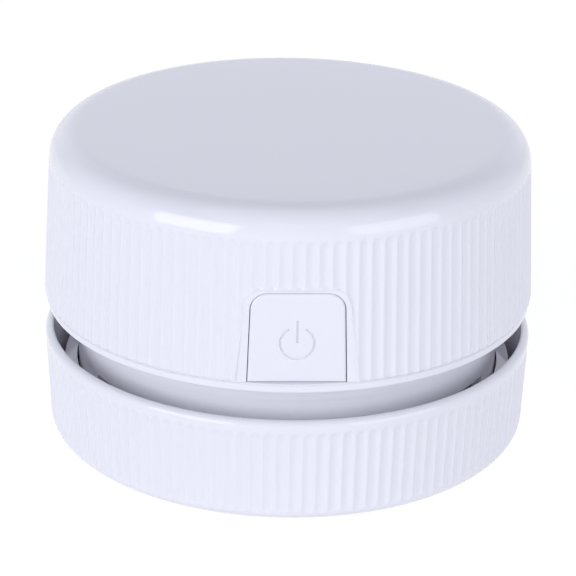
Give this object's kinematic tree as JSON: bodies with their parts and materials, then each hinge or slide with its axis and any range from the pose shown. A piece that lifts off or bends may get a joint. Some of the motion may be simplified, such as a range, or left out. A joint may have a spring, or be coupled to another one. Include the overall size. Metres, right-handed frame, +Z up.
{
  "type": "desktop mini vacuum cleaner",
  "caption": "Round palm-sized desk vacuum: a dust cup, a motor housing over an open exhaust gap, and a lift-off cap with a push button on its side.",
  "frame": {"origin": "on the desk, in the middle of the four feet, under the body's axis", "axes": "+Z up along the body's axis, -Y towards the side with the button, +X to the right of someone facing the button"},
  "size_m": [0.083, 0.083, 0.0544],
  "materials": {
    "shell_white": "gloss moulded ABS, white with a cool tint",
    "inner_white": "matt moulded ABS",
    "rubber_grey": "matt",
    "seal": "translucent matt silicone",
    "bristle": "nylon bristles",
    "mesh": "fine woven nylon",
    "steel": "bright zinc plated",
    "nickel": "nickel plated strip",
    "bronze": "sintered bronze",
    "brass": "plain",
    "copper": "enamelled copper",
    "ferrite": "sintered ferrite",
    "black_plastic": "matt",
    "cell_jacket": "plain film jacket",
    "lead_red": "soft PVC",
    "lead_black": "soft PVC",
    "lead_blue": "soft PVC"
  },
  "bodies": {
    "dust_cup": {"dust_cup": "shell_white", "feet": "rubber_grey", "brush_front": "bristle", "brush_rear": "bristle", "seal_ring": "seal"},
    "filter": {"filter_frame": "inner_white", "filter_mesh": "mesh"},
    "motor_unit": {"motor_housing": "shell_white", "fan_cover": "inner_white", "fan_cover_screws": "steel", "motor_can": "steel", "motor_magnets": "ferrite", "motor_bushes": "bronze", "motor_end_cap": "inner_white", "motor_terminals": "brass", "motor_screws": "steel", "battery_tray": "inner_white", "tray_screws": "steel", "cell_left": "cell_jacket", "cell_right": "cell_jacket", "spring_left": "nickel", "spring_right": "nickel", "bridge_contact": "nickel", "contact_left": "nickel", "contact_right": "nickel", "switch_body": "black_plastic", "switch_spring": "steel", "switch_pins": "brass", "lead_red": "lead_red", "lead_black": "lead_black", "lead_blue": "lead_blue"},
    "fan": {"impeller": "inner_white", "motor_shaft": "steel", "armature": "steel", "armature_winding": "copper", "commutator": "copper"},
    "button": {"power_button": "shell_white", "switch_plunger": "inner_white"},
    "cap": {"top_cap": "shell_white"}
  },
  "joints": [
    {"name": "body_twist", "type": "hinge", "parent": "dust_cup", "child": "filter", "pos_m": [0, 0, 0.01], "axis": [0, 0, 1], "range_deg": [0, 20]},
    {"name": "body_lift", "type": "slide", "parent": "filter", "child": "motor_unit", "axis": [0, 0, 1], "range_m": [0, 0.03]},
    {"name": "cap_lift", "type": "slide", "parent": "motor_unit", "child": "cap", "axis": [0, 0, 1], "range_m": [0, 0.032]},
    {"name": "power_button", "type": "slide", "parent": "motor_unit", "child": "button", "axis": [0, 1, 0], "range_m": [0, 0.0015], "stiffness_N_per_m": 600, "springref_m": -0.0015, "deforming": ["switch_spring"]},
    {"name": "fan_spin", "type": "hinge", "parent": "motor_unit", "child": "fan", "pos_m": [0, 0, 0.02], "axis": [0, 0, 1], "continuous": true}
  ]
}
